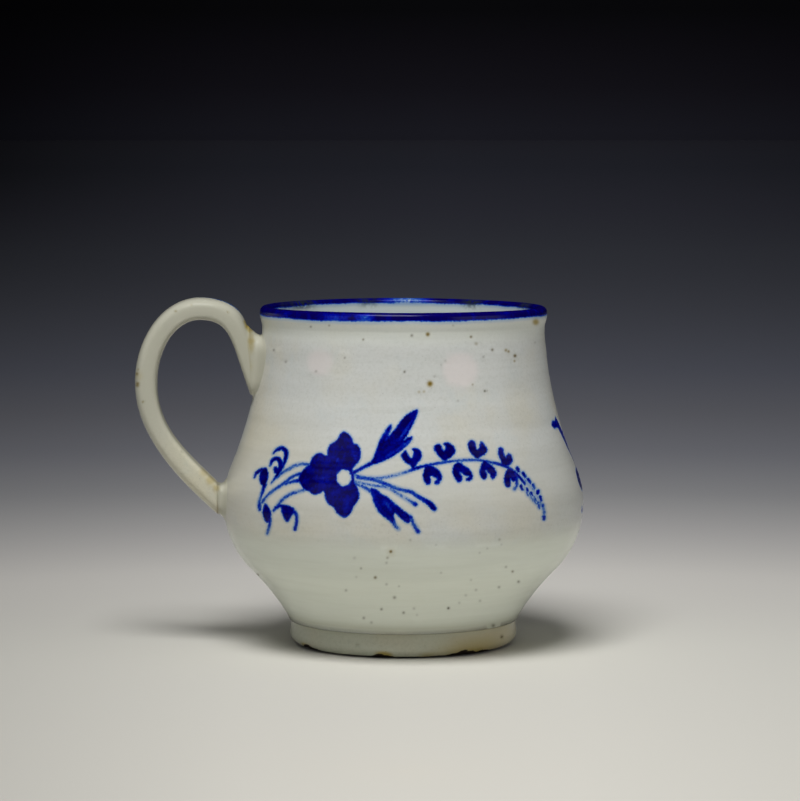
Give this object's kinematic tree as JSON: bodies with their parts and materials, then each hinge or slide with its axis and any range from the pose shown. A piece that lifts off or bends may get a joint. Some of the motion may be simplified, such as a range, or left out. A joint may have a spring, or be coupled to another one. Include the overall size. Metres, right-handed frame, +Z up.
{
  "type": "custard cup",
  "caption": "Small custard cup: a full-bellied bowl with a waisted neck on a low foot ring, a loop strap handle, a blue rim band and painted blue flower sprigs.",
  "frame": {"origin": "on the surface that the cup stands on, under the middle of its length from the handle's bow to the far side of the belly", "axes": "+Z up along the cup's axis of turning, -X towards the handle, +Y across"},
  "size_m": [0.087, 0.0702, 0.0674],
  "materials": {
    "bowl_glaze": "gloss",
    "foot_glaze": "gloss",
    "handle_glaze": "gloss",
    "slip_glaze": "gloss"
  },
  "bodies": {
    "root": {"cup_body": "bowl_glaze", "foot_ring": "foot_glaze", "handle": "handle_glaze", "upper_joint_slip": "slip_glaze", "lower_joint_slip": "slip_glaze"}
  },
  "joints": []
}
